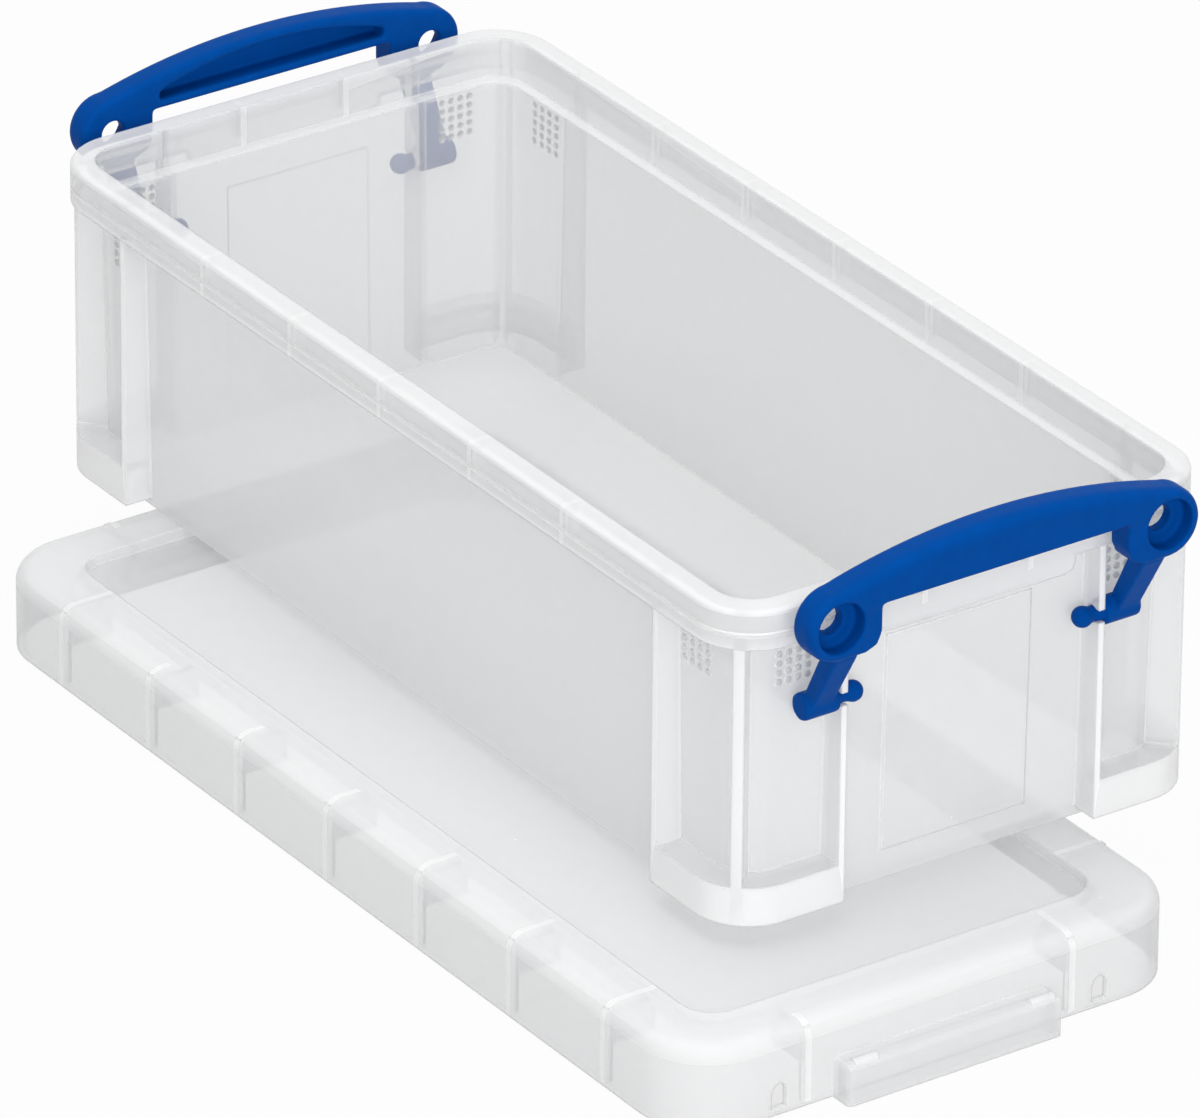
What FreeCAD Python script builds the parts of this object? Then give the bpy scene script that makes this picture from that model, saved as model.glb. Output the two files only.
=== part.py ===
import FreeCAD
import Part
import Sketcher
import math
import os

# A clear stacking box of about a litre, with its lid lying flat and the tub standing on the lid,
# shifted towards the back left. Millimetres, +Z up, +X along the box towards its near end.

doc = FreeCAD.newDocument("storage_box")
sheet = doc.addObject("Spreadsheet::Sheet", "sizes")
vector = FreeCAD.Vector


class Size:
    """A length with the sheet formula that gives it."""

    def __init__(self, value, formula):
        self.value = value
        self.formula = formula

    def __add__(self, other):
        other = asSize(other)
        return Size(self.value + other.value, "(%s + %s)" % (self.formula, other.formula))

    def __sub__(self, other):
        other = asSize(other)
        return Size(self.value - other.value, "(%s - %s)" % (self.formula, other.formula))

    def __mul__(self, other):
        other = asSize(other)
        return Size(self.value * other.value, "(%s * %s)" % (self.formula, other.formula))

    def __truediv__(self, other):
        other = asSize(other)
        return Size(self.value / other.value, "(%s / %s)" % (self.formula, other.formula))

    def __neg__(self):
        return Size(-self.value, "(0 - %s)" % self.formula)


def asSize(number):
    if isinstance(number, Size):
        return number
    return Size(float(number), repr(float(number)))


rowCount = 0


def size(alias, value, note):
    global rowCount
    rowCount += 1
    sheet.set("A%d" % rowCount, note)
    sheet.set("B%d" % rowCount, str(value))
    sheet.setAlias("B%d" % rowCount, alias)
    return Size(float(value), "sizes." + alias)


# The tub: wall, floor and base.
baseHalfL = size("baseHalfL", 96.6, "tub wall, outer half length at the base")
baseHalfW = size("baseHalfW", 42.1, "tub wall, outer half width at the base")
baseCorner = size("baseCorner", 6.0, "tub wall, outer corner radius")
wallDraft = size("wallDraft", 0.8, "how far the wall leans out up to the step")
wallThick = size("wallThick", 1.3, "tub wall thickness")
floorThick = size("floorThick", 1.6, "tub floor thickness")
baseRound = size("baseRound", 1.0, "rounding of the base's outer edge")
# The rim: a step out in the wall, then a channel that opens downwards.
rimTop = size("rimTop", 60.0, "top of the rim above the base")
rimOverhang = size("rimOverhang", 5.9, "how far the rim stands out from the base")
rimWide = size("rimWide", 4.2, "width of the rim, from its outer wall to the mouth")
rimCorner = size("rimCorner", 11.0, "rim, outer corner radius")
openCorner = size("openCorner", 7.0, "mouth, corner radius")
stepDrop = size("stepDrop", 8.8, "underside of the step in the wall, below the rim's top")
stepThick = size("stepThick", 1.4, "thickness of the step")
rimWall = size("rimWall", 1.2, "thickness of the rim's two walls")
rimFlange = size("rimFlange", 1.4, "thickness of the rim's flat top")
skirtTall = size("skirtTall", 7.2, "height of the rim's outer wall")
rimRound = size("rimRound", 1.0, "rounding of the rim's top edge")
grooveDrop = size("grooveDrop", 4.0, "top of the groove round the rim, below the rim's top")
grooveTall = size("grooveTall", 0.7, "height of the groove")
grooveDeep = size("grooveDeep", 0.45, "depth of the groove")
ribPitch = size("ribPitch", 26.8, "spacing of the small ribs in the rim channel")
ribThick = size("ribThick", 1.1, "thickness of the small ribs")
ribLift = size("ribLift", 1.0, "lower edge of the small ribs above the skirt's")
ribFromStrip = size("ribFromStrip", 9.1, "the small ribs at the ends, in from the strip's edge")
stripFromFin = size("stripFromFin", 6.0, "edge of the deeper strip of rim at each end, in from the fin")
stripDrop = size("stripDrop", 10.2, "lower edge of the deeper strip, below the rim's top")
stripEase = size("stripEase", 2.0, "easing of the deeper strip's lower corners")
rimHalfL = baseHalfL + rimOverhang
rimHalfW = baseHalfW + rimOverhang
openHalfL = rimHalfL - rimWide
openHalfW = rimHalfW - rimWide
stepZ = rimTop - stepDrop
skirtBottom = rimTop - skirtTall
grooveZ = rimTop - grooveDrop
stripBottom = rimTop - stripDrop
# Corner fins and feet.
finFromEnd = size("finFromEnd", 17.1, "fins on the long sides, in from the end wall")
finFromSide = size("finFromSide", 16.5, "fins on the ends, in from the side wall")
finThick = size("finThick", 1.2, "thickness of the fins")
cornerFin = size("cornerFin", 1.9, "thickness of the diagonal fin")
footInset = size("footInset", 0.6, "feet and fins, in from the rim's outer wall")
footZ = size("footZ", 2.0, "underside of the feet above the base")
footTop = size("footTop", 9.0, "top of the foot shelf")
footWall = size("footWall", 1.2, "thickness of the foot's skirt")
footShelf = size("footShelf", 1.4, "thickness of the foot's shelf")
panelFromFin = size("panelFromFin", 11.2, "edge of the raised bare panel on each end, in from the fin")
panelLow = size("panelLow", 6.0, "lower edge of that panel")
panelDrop = size("panelDrop", 14.0, "upper edge of that panel, below the rim's top")
panelProud = size("panelProud", 0.4, "how far that panel stands out")
finX = baseHalfL - finFromEnd
finY = baseHalfW - finFromSide
footHalfL = rimHalfL - footInset
footHalfW = rimHalfW - footInset
footCorner = rimCorner - footInset
panelHalf = finY - panelFromFin
panelHigh = rimTop - panelDrop
stripHalf = finY - stripFromFin
ribEndY = stripHalf - ribFromStrip
# The hinge of each handle.
pivotInset = size("pivotInset", 1.8, "hinge line, in from the fins' outer edge")
pivotDrop = size("pivotDrop", 20.6, "hinge line below the rim's top")
pinRadius = size("pinRadius", 1.4, "radius of the hinge pin")
pinClear = size("pinClear", 0.08, "running clearance round the pin")
slotHalf = size("slotHalf", 1.15, "half width of the snap-in slot")
pivotX = footHalfL - pivotInset
pivotZ = rimTop - pivotDrop
# The handle, measured from its hinge line.
handleClear = size("handleClear", 2.6, "room between the rim and the grip's back face")
gripDeep = size("gripDeep", 5.6, "depth of the grip from back to front")
gripClear = size("gripClear", 0.2, "underside of the grip above the rim's top")
gripTall = size("gripTall", 3.5, "height of the grip at its ends")
gripRise = size("gripRise", 5.0, "how far the grip's top bows up at its middle")
gripRound = size("gripRound", 2.0, "rounding of the grip's front upper edge")
gripBackRound = size("gripBackRound", 1.0, "rounding of the grip's back upper edge")
bossFromLug = size("bossFromLug", 6.0, "round boss, out from the lug's inner face")
bossDrop = size("bossDrop", 2.2, "round boss, below the grip's underside")
bossRadius = size("bossRadius", 6.2, "radius of the round boss")
bossRound = size("bossRound", 1.4, "easing of the boss's front edge")
bossBackRound = size("bossBackRound", 0.8, "easing of the boss's back edge")
cupRadius = size("cupRadius", 4.5, "radius of the cup in the boss")
cupDeep = size("cupDeep", 3.2, "depth of the cup")
eyeRadius = size("eyeRadius", 2.2, "radius of the through hole in the cup")
gripPastBoss = size("gripPastBoss", 2.2, "end of the grip bar, out past the boss's middle")
legWide = size("legWide", 8.1, "leg block, in from the boss's middle")
legTall = size("legTall", 8.0, "leg block, below the grip's underside")
legRound = size("legRound", 3.0, "easing of the leg block's lower corner")
legStep = size("legStep", 0.3, "how far the leg block stands back from the grip's front")
armFromLug = size("armFromLug", 3.95, "arm, out from the lug's inner face")
armWide = size("armWide", 4.6, "width of the arm")
armBack = size("armBack", 1.6, "arm, back from the grip's front")
lugClear = size("lugClear", 0.3, "room between the fin and the lug")
lugWide = size("lugWide", 6.8, "width of the lug")
lugRadius = size("lugRadius", 2.4, "radius of the lug round the hinge line")
ballClear = size("ballClear", 0.2, "room between the fin and the ball end of the pin")
ballRadius = size("ballRadius", 1.9, "radius of the ball end")
hollowDeep = size("hollowDeep", 3.6, "depth of the hollow in the grip's back")
hollowWall = size("hollowWall", 1.5, "wall round that hollow")
handleBack = rimHalfL - pivotX + handleClear
handleFront = handleBack + gripDeep
gripLow = pivotDrop + gripClear
gripEnd = gripLow + gripTall
gripMid = gripEnd + gripRise
lugInner = finY + finThick / 2 + lugClear
lugOuter = lugInner + lugWide
ballY = finY - finThick / 2 - ballClear - ballRadius
armY = lugInner + armFromLug
bossY = lugInner + bossFromLug
bossZ = gripLow - bossDrop
gripHalf = bossY + gripPastBoss
legInner = bossY - legWide
legLow = gripLow - legTall
# The lid.
lidClear = size("lidClear", 0.8, "room between the rim and the lid's skirt")
lidTall = size("lidTall", 15.0, "height of the lid")
lidWall = size("lidWall", 1.2, "thickness of the lid's skirt")
lidTop = size("lidTop", 1.6, "thickness of the lid's top")
lidRound = size("lidRound", 3.0, "rounding of the lid's top edge")
trayMargin = size("trayMargin", 10.5, "border of the lid's top round the sunk panel")
trayCorner = size("trayCorner", 6.0, "sunk panel, corner radius")
trayDeep = size("trayDeep", 2.0, "depth of the sunk panel")
gussetPitch = size("gussetPitch", 27.0, "spacing of the lid's inner gussets")
gussetThick = size("gussetThick", 1.2, "thickness of those gussets")
gussetZ = size("gussetZ", 7.5, "underside of the gussets, where the rim seats")
gussetFromLedge = size("gussetFromLedge", 4.9, "gussets at the ends, out from the catch ledge")
guideProud = size("guideProud", 0.5, "how far the guide ribs below them stand in")
guideLow = size("guideLow", 0.6, "lower end of the guide ribs")
ledgeClear = size("ledgeClear", 3.2, "room between the catch ledge and the handle's legs")
ledgeReach = size("ledgeReach", 4.5, "how far the ledge stands out from the skirt")
ledgeDrop = size("ledgeDrop", 0.2, "top of the ledge below the gussets' underside")
ledgeWall = size("ledgeWall", 1.2, "thickness of the ledge's walls")
ledgeRound = size("ledgeRound", 1.0, "rounding of the ledge's outer edges")
nubFromEdge = size("nubFromEdge", 3.8, "nubs on the ledge, in from its end")
nubLong = size("nubLong", 4.6, "length of a nub")
nubRadius = size("nubRadius", 0.9, "radius of a nub")
nubSink = size("nubSink", 0.2, "how far a nub is sunk into the ledge's edge")
windowFromLedge = size("windowFromLedge", 10.5, "small windows in the end skirts, out from the ledge")
windowHalf = size("windowHalf", 1.5, "half width of a window")
windowLow = size("windowLow", 1.2, "lower edge of a window")
windowTall = size("windowTall", 4.5, "height of a window")
lidHalfL = rimHalfL + lidClear + lidWall
lidHalfW = rimHalfW + lidClear + lidWall
lidCorner = rimCorner + lidClear + lidWall
trayHalfL = lidHalfL - trayMargin
trayHalfW = lidHalfW - trayMargin
ledgeHalf = legInner - ledgeClear
ledgeTall = gussetZ - ledgeDrop
nubY = ledgeHalf - nubFromEdge
windowY = ledgeHalf + windowFromLedge
windowHigh = windowLow + windowTall
gussetEndY = ledgeHalf + gussetFromLedge
# How the tub stands on the lid.
shiftX = size("shiftX", 24.0, "the tub stands this far towards the far end")
shiftY = size("shiftY", 24.5, "the tub stands this far towards the back")
# Ribs and pads root this deep in what they grow from, and cuts run this far past it.
rootIn = size("rootIn", 1.0, "depth of a root in its wall")
cutPast = size("cutPast", 1.0, "how far a cut runs past the solid")

# Share of a corner's radius between its arc and its square corner, along either side.
cornerShare = 1 - math.sqrt(0.5)

boxFar = shiftX + pivotX + handleFront
boxNear = lidHalfL + ledgeReach
lidX = (boxFar - boxNear) / 2
lidY = (lidHalfW - (shiftY + rimHalfW)) / 2
tubX = lidX - shiftX
tubY = lidY + shiftY
doc.recompute()


def originPlane(body, role):
    for feature in body.Origin.OriginFeatures:
        if feature.Role == role:
            return feature


def sketchOn(body, name, role, away=0, lift=0):
    """A sketch parallel to an origin plane, moved along its normal and up its own second axis."""
    sketch = body.newObject("Sketcher::SketchObject", name)
    sketch.AttachmentSupport = [(originPlane(body, role), "")]
    sketch.MapMode = "FlatFace"
    sketch.setExpression("AttachmentOffset.Base.z", asSize(away).formula)
    sketch.setExpression("AttachmentOffset.Base.y", asSize(lift).formula)
    return sketch


def bind(sketch, sized, plain=()):
    """Adds the constraints, and ties those that have a length to the sheet."""
    sketch.addConstraint(list(plain))
    first = sketch.ConstraintCount
    sketch.addConstraint([constraint for constraint, length in sized])
    for i, (constraint, length) in enumerate(sized):
        name = "size%d" % (first + i)
        sketch.renameConstraint(first + i, name)
        sketch.setExpression("Constraints." + name, length.formula)


def pointAt(geometry, end, across, up):
    """The two distances that hold a point to the sketch's origin."""
    found = []
    for kind, length in (("DistanceX", asSize(across)), ("DistanceY", asSize(up))):
        if length.value >= 0:
            found.append((Sketcher.Constraint(kind, -1, 1, geometry, end, length.value), length))
        else:
            found.append((Sketcher.Constraint(kind, geometry, end, -1, 1, -length.value), -length))
    return found


def polygon(sketch, points):
    points = [(asSize(across), asSize(up)) for across, up in points]
    first = sketch.GeometryCount
    count = len(points)
    joins = []
    held = []
    for i in range(count):
        start = points[i]
        end = points[(i + 1) % count]
        sketch.addGeometry(Part.LineSegment(vector(start[0].value, start[1].value, 0),
                                            vector(end[0].value, end[1].value, 0)))
        joins.append(Sketcher.Constraint("Coincident", first + i, 2, first + (i + 1) % count, 1))
        held += pointAt(first + i, 1, start[0], start[1])
    bind(sketch, held, joins)


def rectangle(sketch, left, right, low, high):
    polygon(sketch, [(left, low), (right, low), (right, high), (left, high)])


def circle(sketch, across, up, radius):
    across, up = asSize(across), asSize(up)
    index = sketch.addGeometry(Part.Circle(vector(across.value, up.value, 0), vector(0, 0, 1), radius.value))
    held = [(Sketcher.Constraint("Radius", index, radius.value), radius)]
    bind(sketch, held + pointAt(index, 3, across, up))


def roundedRect(sketch, halfL, halfW, radius):
    halfL, halfW, radius = asSize(halfL), asSize(halfW), asSize(radius)
    x, y, r = halfL.value, halfW.value, radius.value
    first = sketch.GeometryCount
    starts = [(r - x, -y), (x, r - y), (x - r, y), (-x, y - r)]
    ends = [(x - r, -y), (x, y - r), (r - x, y), (-x, r - y)]
    centres = [(x - r, r - y), (x - r, y - r), (r - x, y - r), (r - x, r - y)]
    for i in range(4):
        sketch.addGeometry(Part.LineSegment(vector(starts[i][0], starts[i][1], 0),
                                            vector(ends[i][0], ends[i][1], 0)))
        turn = math.pi / 2 * (i - 1)
        arcCircle = Part.Circle(vector(centres[i][0], centres[i][1], 0), vector(0, 0, 1), r)
        sketch.addGeometry(Part.ArcOfCircle(arcCircle, turn, turn + math.pi / 2))
    joins = [Sketcher.Constraint("Tangent", first + i, 2, first + (i + 1) % 8, 1) for i in range(8)]
    for i in (0, 4):
        joins.append(Sketcher.Constraint("Horizontal", first + i))
        joins.append(Sketcher.Constraint("Vertical", first + i + 2))
    joins += [Sketcher.Constraint("Equal", first + 1, first + i) for i in (3, 5, 7)]
    bind(sketch, [(Sketcher.Constraint("Radius", first + 1, r), radius),
                  (Sketcher.Constraint("DistanceX", -1, 1, first + 2, 1, x), halfL),
                  (Sketcher.Constraint("DistanceX", first + 6, 1, -1, 1, x), halfL),
                  (Sketcher.Constraint("DistanceY", -1, 1, first + 4, 1, y), halfW),
                  (Sketcher.Constraint("DistanceY", first, 1, -1, 1, y), halfW)], joins)


def archRegion(sketch, half, low, endHigh, midHigh):
    """A bar with a straight underside and a bowed top."""
    rise = midHigh - endHigh
    radius = (half * half + rise * rise) / (rise * 2)
    h, low0, end0, r = half.value, low.value, endHigh.value, radius.value
    middle = midHigh.value - r
    sketch.addGeometry(Part.LineSegment(vector(-h, low0, 0), vector(h, low0, 0)))
    sketch.addGeometry(Part.LineSegment(vector(h, low0, 0), vector(h, end0, 0)))
    turn = math.atan2(end0 - middle, h)
    sketch.addGeometry(Part.ArcOfCircle(Part.Circle(vector(0, middle, 0), vector(0, 0, 1), r),
                                        turn, math.pi - turn))
    sketch.addGeometry(Part.LineSegment(vector(-h, end0, 0), vector(-h, low0, 0)))
    joins = [Sketcher.Constraint("Coincident", i, 2, (i + 1) % 4, 1) for i in range(4)]
    held = pointAt(0, 1, -half, low) + pointAt(1, 1, half, low)
    held += pointAt(2, 1, half, endHigh) + pointAt(3, 1, -half, endHigh)
    held.append((Sketcher.Constraint("Radius", 2, r), radius))
    bind(sketch, held, joins)


def pad(body, name, sketch, length, middle=False, cut=False, flip=False):
    feature = body.newObject("PartDesign::Pocket" if cut else "PartDesign::Pad", name)
    feature.Profile = sketch
    feature.Midplane = middle
    feature.Reversed = flip
    feature.setExpression("Length", asSize(length).formula)
    return feature


def loft(body, name, lower, upper, cut=False):
    feature = body.newObject("PartDesign::SubtractiveLoft" if cut else "PartDesign::AdditiveLoft", name)
    feature.Profile = lower
    feature.Sections = [upper]
    return feature


def roundEdges(body, name, radius, wanted):
    """Rounds the edges of the body's last feature that the test picks."""
    doc.recompute()
    base = body.Tip
    names = ["Edge%d" % (i + 1) for i, edge in enumerate(base.Shape.Edges) if wanted(edge)]
    feature = body.newObject("PartDesign::Fillet", name)
    feature.Base = (base, names)
    feature.setExpression("Radius", radius.formula)
    return feature


def liesAt(edge, axis, height):
    box = edge.BoundBox
    low, high = ((box.XMin, box.XMax), (box.YMin, box.YMax), (box.ZMin, box.ZMax))[axis]
    return abs(low - height.value) < 0.01 and abs(high - height.value) < 0.01


def isLedgeEdge(edge):
    """Whether an edge bounds the catch ledge's outer face, or its top at either end."""
    outer = lidHalfL + ledgeReach
    if liesAt(edge, 0, outer) or liesAt(edge, 0, -outer):
        return edge.BoundBox.ZMax > ledgeWall.value
    return liesAt(edge, 2, ledgeTall) and (liesAt(edge, 1, ledgeHalf) or liesAt(edge, 1, -ledgeHalf))


def newBody(label):
    body = doc.addObject("PartDesign::Body", label)
    body.Label = label
    return body


def place(body, across, along, up, turned=False):
    turn = FreeCAD.Rotation(vector(0, 0, 1), 180 if turned else 0)
    body.Placement = FreeCAD.Placement(vector(0, 0, 0), turn)
    body.setExpression("Placement.Base.x", asSize(across).formula)
    body.setExpression("Placement.Base.y", asSize(along).formula)
    body.setExpression("Placement.Base.z", asSize(up).formula)


def makeTub():
    body = newBody("tub")
    # Feet: a hollow cap round the whole outline, cut back so that only its four corners stay.
    sketch = sketchOn(body, "footOutline", "XY_Plane", footZ)
    roundedRect(sketch, footHalfL, footHalfW, footCorner)
    pad(body, "feet", sketch, footTop - footZ)
    sketch = sketchOn(body, "footInside", "XY_Plane", footZ)
    roundedRect(sketch, footHalfL - footWall, footHalfW - footWall, footCorner - footWall)
    pad(body, "feetHollow", sketch, footTop - footZ - footShelf, cut=True, flip=True)
    sketch = sketchOn(body, "footGaps", "XY_Plane", footTop)
    gapX = finX - finThick / 2
    gapY = finY - finThick / 2
    for low, high in ((-(footHalfW + cutPast), -(baseHalfW - rootIn * 2)),
                      (baseHalfW - rootIn * 2, footHalfW + cutPast)):
        rectangle(sketch, -gapX, gapX, low, high)
    for left, right in ((-(footHalfL + cutPast), -(baseHalfL - rootIn * 2)),
                        (baseHalfL - rootIn * 2, footHalfL + cutPast)):
        rectangle(sketch, left, right, -gapY, gapY)
    pad(body, "feetCutBack", sketch, footTop, cut=True)
    # Walls, solid for now, leaning out a little.
    lower = sketchOn(body, "baseOutline", "XY_Plane")
    roundedRect(lower, baseHalfL, baseHalfW, baseCorner)
    upper = sketchOn(body, "stepOutline", "XY_Plane", stepZ)
    roundedRect(upper, baseHalfL + wallDraft, baseHalfW + wallDraft, baseCorner + wallDraft)
    loft(body, "walls", lower, upper)
    roundEdges(body, "baseEdge", baseRound, lambda edge: liesAt(edge, 2, asSize(0)))
    # Three fins at each corner.
    sketch = sketchOn(body, "finPlan", "XY_Plane", footZ)
    for side in (1, -1):
        for end in (1, -1):
            inner, outer = baseHalfW - rootIn, footHalfW
            low, high = (inner, outer) if side > 0 else (-outer, -inner)
            rectangle(sketch, finX * end - finThick / 2, finX * end + finThick / 2, low, high)
            inner, outer = baseHalfL - rootIn, footHalfL
            left, right = (inner, outer) if end > 0 else (-outer, -inner)
            rectangle(sketch, left, right, finY * side - finThick / 2, finY * side + finThick / 2)
            tipX = (footHalfL - footCorner * cornerShare) * end
            tipY = (footHalfW - footCorner * cornerShare) * side
            rootX = (baseHalfL - baseCorner * cornerShare - wallThick) * end
            rootY = tipY - (tipX - rootX) * (end * side)
            half = cornerFin * math.sqrt(0.125)
            polygon(sketch, [(tipX - half * side, tipY + half * end), (tipX + half * side, tipY - half * end),
                             (rootX + half * side, rootY - half * end),
                             (rootX - half * side, rootY + half * end)])
    pad(body, "fins", sketch, rimTop - rimFlange / 2 - footZ)
    # Rim: inner wall, flat top and outer wall.
    sketch = sketchOn(body, "rimInnerWall", "XY_Plane", stepZ)
    roundedRect(sketch, openHalfL + rimWall, openHalfW + rimWall, openCorner + rimWall)
    pad(body, "rimInner", sketch, rimTop - stepZ)
    sketch = sketchOn(body, "rimTopOutline", "XY_Plane", rimTop - rimFlange)
    roundedRect(sketch, rimHalfL, rimHalfW, rimCorner)
    pad(body, "rimFlat", sketch, rimFlange)
    roundEdges(body, "rimEdge", rimRound, lambda edge: liesAt(edge, 2, rimTop))
    sketch = sketchOn(body, "rimSkirtPlan", "XY_Plane", rimTop - rimFlange)
    roundedRect(sketch, rimHalfL, rimHalfW, rimCorner)
    roundedRect(sketch, rimHalfL - rimWall, rimHalfW - rimWall, rimCorner - rimWall)
    pad(body, "rimSkirt", sketch, rimTop - rimFlange - skirtBottom, flip=True)
    # Small ribs across the rim channel, and the deeper strip at each end.
    sketch = sketchOn(body, "rimRibPlan", "XY_Plane", skirtBottom + ribLift)
    for side in (1, -1):
        inner, outer = openHalfW + rimWall / 2, rimHalfW - rimWall / 2
        low, high = (inner, outer) if side > 0 else (-outer, -inner)
        for step in (-2, -1, 0, 1, 2):
            rectangle(sketch, ribPitch * step - ribThick / 2, ribPitch * step + ribThick / 2, low, high)
        inner, outer = openHalfL + rimWall / 2, rimHalfL - rimWall / 2
        left, right = (inner, outer) if side > 0 else (-outer, -inner)
        for step in (-1, 1):
            rectangle(sketch, left, right, ribEndY * step - ribThick / 2, ribEndY * step + ribThick / 2)
    pad(body, "rimRibs", sketch, rimTop - rimFlange / 2 - skirtBottom - ribLift)
    for name, end in (("Near", 1), ("Far", -1)):
        sketch = sketchOn(body, "strip" + name + "Outline", "YZ_Plane", (rimHalfL - rimWall / 2) * end)
        ease = stripEase
        polygon(sketch, [(-stripHalf, skirtBottom + rootIn), (-stripHalf, stripBottom + ease),
                         (-stripHalf + ease * 0.3, stripBottom + ease * 0.3),
                         (-stripHalf + ease, stripBottom),
                         (stripHalf - ease, stripBottom), (stripHalf - ease * 0.3, stripBottom + ease * 0.3),
                         (stripHalf, stripBottom + ease), (stripHalf, skirtBottom + rootIn)])
        pad(body, "strip" + name, sketch, rimWall, middle=True)
    # The groove round the rim's outer wall.
    sketch = sketchOn(body, "groovePlan", "XY_Plane", grooveZ)
    roundedRect(sketch, rimHalfL + cutPast, rimHalfW + cutPast, rimCorner + cutPast)
    roundedRect(sketch, rimHalfL - grooveDeep, rimHalfW - grooveDeep, rimCorner - grooveDeep)
    pad(body, "groove", sketch, grooveTall, cut=True)
    # A raised bare panel on each end wall, following its lean.
    lean = wallDraft / stepZ
    sketch = sketchOn(body, "panelProfile", "XZ_Plane")
    for end in (1, -1):
        foot = baseHalfL + lean * panelLow
        head = baseHalfL + lean * panelHigh
        polygon(sketch, [((foot - rootIn / 2) * end, panelLow), ((foot + panelProud) * end, panelLow),
                         ((head + panelProud) * end, panelHigh), ((head - rootIn / 2) * end, panelHigh)])
    pad(body, "panels", sketch, panelHalf * 2, middle=True)
    # The inside, below and above the step.
    floorLean = lean * floorThick
    lower = sketchOn(body, "floorOutline", "XY_Plane", floorThick)
    roundedRect(lower, baseHalfL + floorLean - wallThick, baseHalfW + floorLean - wallThick,
                baseCorner - wallThick)
    upper = sketchOn(body, "stepInside", "XY_Plane", stepZ + stepThick)
    roundedRect(upper, baseHalfL + wallDraft - wallThick, baseHalfW + wallDraft - wallThick,
                baseCorner + wallDraft - wallThick)
    loft(body, "inside", lower, upper, cut=True)
    sketch = sketchOn(body, "mouthOutline", "XY_Plane", rimTop)
    roundedRect(sketch, openHalfL, openHalfW, openCorner)
    pad(body, "mouth", sketch, rimTop - stepZ - stepThick, cut=True)
    # Snap-in seats for the hinge pins, in the end fins.
    sketch = sketchOn(body, "seatProfile", "XZ_Plane")
    for end in (1, -1):
        circle(sketch, pivotX * end, pivotZ, pinRadius + pinClear)
    pad(body, "seats", sketch, (finY + finThick) * 2, middle=True, cut=True)
    sketch = sketchOn(body, "slotProfile", "XZ_Plane")
    for end in (1, -1):
        polygon(sketch, [(pivotX * end, pivotZ - slotHalf), ((footHalfL + cutPast) * end, pivotZ - slotHalf),
                         ((footHalfL + cutPast) * end, pivotZ + slotHalf), (pivotX * end, pivotZ + slotHalf)])
    pad(body, "slots", sketch, (finY + finThick) * 2, middle=True, cut=True)
    place(body, tubX, tubY, lidTall)
    return body


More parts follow.
